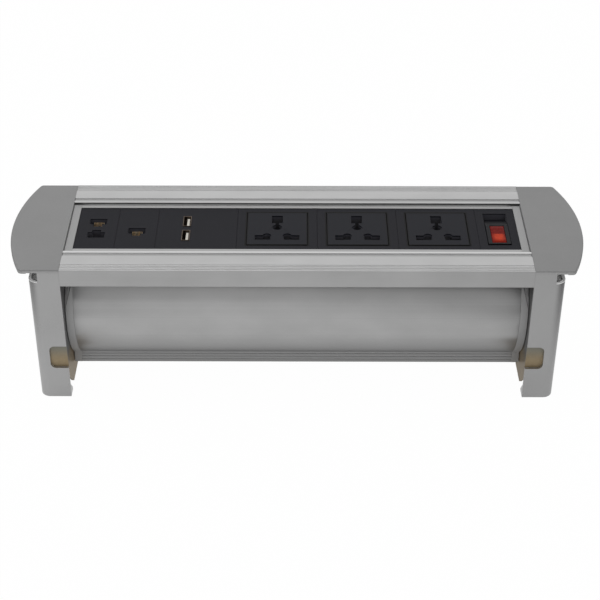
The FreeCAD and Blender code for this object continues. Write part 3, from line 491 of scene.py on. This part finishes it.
def passivated(name):
    """Yellow zinc passivation: straw to olive patches with a faint warm sheen, and painted shade
    that turns it greyer higher up and darker on the faces towards the drum."""
    paint = Paint(name, metallic=0.45)
    cloud = paint.noise(34.0, 4.0, 0.6)
    fine = paint.noise(700.0, 2.0)
    mix = 0.8 * cloud + 0.2 * fine
    paint.colour(mix.ramp(0.3, 0.7), shade((134, 117, 89)), shade((160, 143, 114)))
    x, _, z = paint.axes()
    painted_shade_inner_faces = x.size().fall(*BRACKET_INNER_ALONG)
    # Painted shade: greyer higher up, darker up the faces towards the drum.
    paint.tint(z.ramp(*BRACKET_GREY_HEIGHT), shade((126, 125, 115)))
    paint.tint(painted_shade_inner_faces * z.ramp(*BRACKET_INNER_HEIGHT), shade(112))
    paint.roughness(0.42, (0.2, cloud))
    paint.bump(fine, 0.00001)
    return paint


def gilt(name):
    """Thin gold flash on spring wire: warm and mostly matt, with a faint brightness drift."""
    paint = Paint(name, metallic=0.15)
    cloud = paint.noise((500.0, 500.0, 120.0), 2.0)
    paint.colour(cloud.ramp(0.3, 0.7), shade((250, 208, 150)), shade((255, 236, 204)))
    paint.set("Roughness", 0.35 + 0.2 * cloud)
    return paint


def circuit_board(name):
    """Green solder resist with scattered pale pads."""
    paint = Paint(name)
    cloud = paint.noise(300.0)
    pads = paint.noise((420.0, 420.0, 10.0), 0.0)
    mix = 0.3 * cloud + 0.9 * pads.ramp(0.62, 0.66)
    paint.colour(mix.ramp(0.1, 0.9), shade((18, 74, 40)), shade((120, 128, 90)))
    paint.set("Roughness", 0.32 + 0.2 * cloud)
    return paint


def painted_glow_red(name):
    """Clear red lens: deep red, with a soft glow painted round its middle as the light on its
    lit front.
    """
    paint = Paint(name, roughness=0.25, Specular_IOR_Level=0.04, Emission_Strength=0.30)
    facets = paint.noise((900.0, 900.0, 30.0), 1.0)
    x, y, _ = paint.axes()
    near = y.band(*GLOW_Y) * (x - GLOW_MIDDLE_X).size().fall(*GLOW_X)
    paint.colour(facets.ramp(0.3, 0.7), shade((96, 14, 9)), shade((118, 21, 13)))
    # Painted light: the glow stands for the light on the lens's lit front.
    paint.glow(near * (0.7 + 0.6 * facets), (1.0, 0.12, 0.04))
    paint.bump(facets, 0.00003)
    return paint


PAINTS = (
    rail_metal("rail_aluminium", 172, 0.36),
    drum_metal("drum_aluminium", 183, 0.46),
    flange_coat("end_grey", 136, 172),
    leg_coat("leg_grey", 168),
    cap_coat("cap_grey", 164, 150),
    passivated("bracket_steel"),
    plated("pivot_steel", (176, 176, 178), 0.28),
    plated("screw_steel", (168, 168, 172), 0.3),
    plated("nut_brass", (196, 164, 104), 0.3),
    plastic("bush_plastic", (222, 220, 210), 0.5),
    plastic("washer_rubber", (34, 34, 35), 0.75, cells=900.0),
    panel_plastic("panel_black", (22, 22, 28), 0.55),
    panel_plastic("insert_black", (19, 20, 27), 0.5),
    # Dark grey rather than black, as painted light down in the sockets' holes.
    plastic("base_black", (70, 70, 74), 0.6, Specular_IOR_Level=0.2),
    plated("contact_brass", (205, 176, 112), 0.3),
    gilt("wire_gold"),
    # Lighter than the jacks' dark plastic, as painted light in their cavities.
    plastic("jack_grey", (66, 66, 72), 0.55, Specular_IOR_Level=0.2),
    plated("usb_steel", (98, 86, 76), 0.4),
    plastic("tongue_white", (212, 206, 196), 0.4),
    circuit_board("board_green"),
    plastic("rocker_black", (17, 17, 21), 0.45, Specular_IOR_Level=0.12),
    painted_glow_red("lens_red"),
)
MATERIALS = {paint.name: paint.material for paint in PAINTS}


def dress_nodes():
    """Each CAD node takes the material of its slot in the record."""
    for part in frame["record"]["subparts"]:
        mesh = NODES[part["node"]].data
        mesh.materials.clear()
        mesh.materials.append(MATERIALS[part["material_slot"]])


def soften(name, width):
    """Rounds a node's sharp edges with a small bevel, as moulding and tumbling leave them."""
    piece = NODES[name]
    join = piece.modifiers.new("join", "WELD")
    join.merge_threshold = 0.000001
    edge = piece.modifiers.new("edge", "BEVEL")
    edge.width = width
    edge.segments = 2
    edge.limit_method = "ANGLE"
    edge.angle_limit = math.radians(32.0)
    edge.harden_normals = True


def grid_mesh(name, points, close_around=True):
    """A smooth mesh from an array of rows of points; each row may close on itself."""
    rows, around_row, _ = points.shape
    index = np.arange(rows * around_row).reshape(rows, around_row)
    ahead = np.roll(index, -1, axis=1)
    if not close_around:
        index = index[:, :-1]
        ahead = ahead[:, :-1]
    quads = np.stack([index[:-1], ahead[:-1], ahead[1:], index[1:]], axis=-1).reshape(-1, 4)
    mesh = bpy.data.meshes.new(name)
    mesh.from_pydata(points.reshape(-1, 3).tolist(), [], quads.tolist())
    mesh.polygons.foreach_set("use_smooth", np.ones(len(quads), bool))
    piece = bpy.data.objects.new(name, mesh)
    bpy.context.scene.collection.objects.link(piece)
    return piece


def outline_turns(knee, corner):
    """Turns of the rays round a cap, dense on the flanks, with one on either side of the knee
    where a flank meets the head; one quarter, mirrored to the other three."""
    quarter = np.concatenate([
        np.linspace(0.0, knee - KNEE_GAP, 41),
        np.linspace(knee + KNEE_GAP, corner, 6),
        np.linspace(corner, math.pi / 2, 12)[1:]])
    half = np.concatenate([quarter, math.pi - quarter[-2::-1]])
    return np.concatenate([half[:-1], math.pi + half[:-1]])


def rounded_cap(side, sign):
    """Drum end cap, bevelled round its upper flanks.

    The outline's distance from the axis at a turn is the flank's radius where the ray leaves
    through a flank, and elsewhere the distance to the side or the face of the head. The edge
    towards the end face is cut by a bevel of equal depth both ways. Along the flank it stays
    narrow up to the turn BEVEL_START, then widens evenly to BEVEL_FULL at the turn BEVEL_END.
    """
    node = "drum_cap_" + side
    _, radius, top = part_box(node)[1]
    reach = top - DRUM_AXIS
    join = math.sqrt(radius ** 2 - HEAD_HALF ** 2)
    turn = outline_turns(math.atan2(join, HEAD_HALF), math.atan2(reach, HEAD_HALF))
    sine = np.abs(np.sin(turn))
    cosine = np.abs(np.cos(turn))
    flank = sine * HEAD_HALF < cosine * join
    face = sine * HEAD_HALF >= cosine * (reach - 1e-6)
    upward = np.arcsin(np.sin(turn))
    wide = np.clip((upward - BEVEL_START) / (BEVEL_END - BEVEL_START), 0.0, 1.0)
    bevel = np.where(flank, HEAD_RIM + (BEVEL_FULL - HEAD_RIM) * wide, HEAD_RIM)
    none = 0 * bevel
    ring = none + RING_WIDTH
    end = none + CAP_THICK
    inset = np.stack([ring, none, none, bevel / 2, bevel, ring])
    along = np.stack([none, none, end - bevel, end - bevel / 2, end, end])
    head = np.where(
        face, (reach - inset) / np.maximum(sine, 1e-9),
        (HEAD_HALF - inset) / np.maximum(cosine, 1e-9))
    distance = np.maximum(np.where(flank, radius - inset, head), CORE_RADIUS)
    points = np.stack([
        sign * (SHELL_HALF + along), distance * np.cos(turn),
        DRUM_AXIS + distance * np.sin(turn)], axis=-1)
    if sign > 0:
        points = points[::-1]
    piece = grid_mesh("rounded_cap_" + side, points)
    piece.data.set_sharp_from_angle(angle=math.radians(28.0))
    piece.data.materials.append(MATERIALS["cap_grey"])
    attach(piece, "drum")
    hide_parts(node)


def domed_lens():
    """Red lens of the switch: a rectangle whose face rises by one minus the eighth power of
    the distance across times the same along, over straight sides down to its seat."""
    low, high = (np.array(corner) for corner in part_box("rocker_lens"))
    middle = (low + high) / 2
    half = (high - low) / 2
    u = np.linspace(-1.0, 1.0, 25)[None, :]
    v = np.linspace(-1.0, 1.0, 41)[:, None]
    dome = (1 - np.abs(u) ** LENS_POWER) * (1 - np.abs(v) ** LENS_POWER)
    points = np.stack([
        middle[0] + half[0] * u + 0 * v, middle[1] + half[1] * v + 0 * u,
        high[2] - LENS_RISE + LENS_RISE * dome], axis=-1)
    face = grid_mesh("lens_face", points, close_around=False)
    wall = face.modifiers.new("wall", "SOLIDIFY")
    wall.thickness = LENS_WALL
    wall.offset = -1.0
    face.data.materials.append(MATERIALS["lens_red"])
    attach(face, "rocker")
    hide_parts("rocker_lens")


def mix_surface(tree, share, first, second, out):
    """Leads two shaders to the output, the second by its share."""
    mix = tree.nodes.new("ShaderNodeMixShader")
    tree.links.new(share.socket, mix.inputs["Fac"])
    tree.links.new(first.outputs[0], mix.inputs[1])
    tree.links.new(second.outputs[0], mix.inputs[2])
    tree.links.new(mix.outputs[0], out.inputs["Surface"])


def studio_background():
    """White for camera and mirrored rays, a shade less for mirrored ones and greyer high in
    front, as behind a camera in a studio; a weaker white as diffuse light."""
    world = bpy.data.worlds.new("studio")
    bpy.context.scene.world = world
    world.use_nodes = True
    tree = world.node_tree
    tree.nodes.clear()
    _, y, z = axes(tree, "Generated")
    front = z.ramp(*WORLD_RISE) * (-1.0 * y).ramp(*WORLD_FRONT)
    shiny = ray(tree, "Glossy")
    clear = tree.nodes.new("ShaderNodeBackground")
    strength = (1.0 - WORLD_FRONT_LOSS * front) * (1.0 - WORLD_MIRROR_LOSS * shiny)
    tree.links.new(strength.socket, clear.inputs["Strength"])
    soft = tree.nodes.new("ShaderNodeBackground")
    soft.inputs["Strength"].default_value = WORLD_SOFT_LIGHT
    for node in (clear, soft):
        node.inputs["Color"].default_value = (1.0, 1.0, 1.0, 1.0)
    out = tree.nodes.new("ShaderNodeOutputWorld")
    mix_surface(tree, ray(tree, "Camera") + shiny, soft, clear, out)


def make_floor():
    """Pale floor that a camera sees as plain white with a trace of its real shading.

    Mirrored rays see it greyer to the right and dark beyond both ends of the part, as between
    the black screens beside a product. That gives the legs' round corners their dark edge.
    """
    mesh = bpy.data.meshes.new("floor")
    corners = [(-4.0, -4.0, 0.0), (4.0, -4.0, 0.0), (4.0, 4.0, 0.0), (-4.0, 4.0, 0.0)]
    mesh.from_pydata(corners, [], [(0, 1, 2, 3)])
    floor = bpy.data.objects.new("floor", mesh)
    floor.location.z = -0.0004
    bpy.context.scene.collection.objects.link(floor)
    paint = plastic("floor_white", (246, 246, 246), 0.9, 1, 300.0)
    mesh.materials.append(paint.material)
    tree = paint.tree
    x, _, _ = paint.axes()
    shiny = ray(tree, "Glossy")
    aside = x.ramp(*FLOOR_FAR_RIGHT) + (-1.0 * x).ramp(*FLOOR_FAR_LEFT)
    loss = FLOOR_RIGHT_LOSS * x.ramp(*FLOOR_RIGHT) + FLOOR_FAR_LOSS * aside
    plain = tree.nodes.new("ShaderNodeEmission")
    plain.inputs["Color"].default_value = (1.0, 1.0, 1.0, 1.0)
    tree.links.new((1.0 - shiny * loss).socket, plain.inputs["Strength"])
    mirrored = FLOOR_MIRROR_SHARE + (1.0 - FLOOR_MIRROR_SHARE) * aside
    share = FLOOR_CAMERA_SHARE * ray(tree, "Camera") + shiny * mirrored
    mix_surface(tree, share, paint.shader, plain, tree.nodes["Material Output"])


def make_lights():
    """Soft boxes aimed at the part: a wide one at the rear, two above, a weak one in front."""
    for name, place, power, size in LIGHTS:
        data = bpy.data.lights.new(name, "AREA")
        data.energy = power
        data.size = size
        lamp = bpy.data.objects.new(name, data)
        lamp.location = place
        aim = Vector(LIGHTS_AIM) - Vector(place)
        lamp.rotation_euler = aim.to_track_quat("-Z", "Y").to_euler()
        bpy.context.scene.collection.objects.link(lamp)


def main():
    bpy.context.scene.view_settings.view_transform = "Standard"
    make_camera()
    dress_nodes()
    for name, width in EDGE_BEVELS.items():
        soften(name, width)
    rounded_cap("left", -1)
    rounded_cap("right", 1)
    domed_lens()
    make_floor()
    make_lights()
    studio_background()


main()
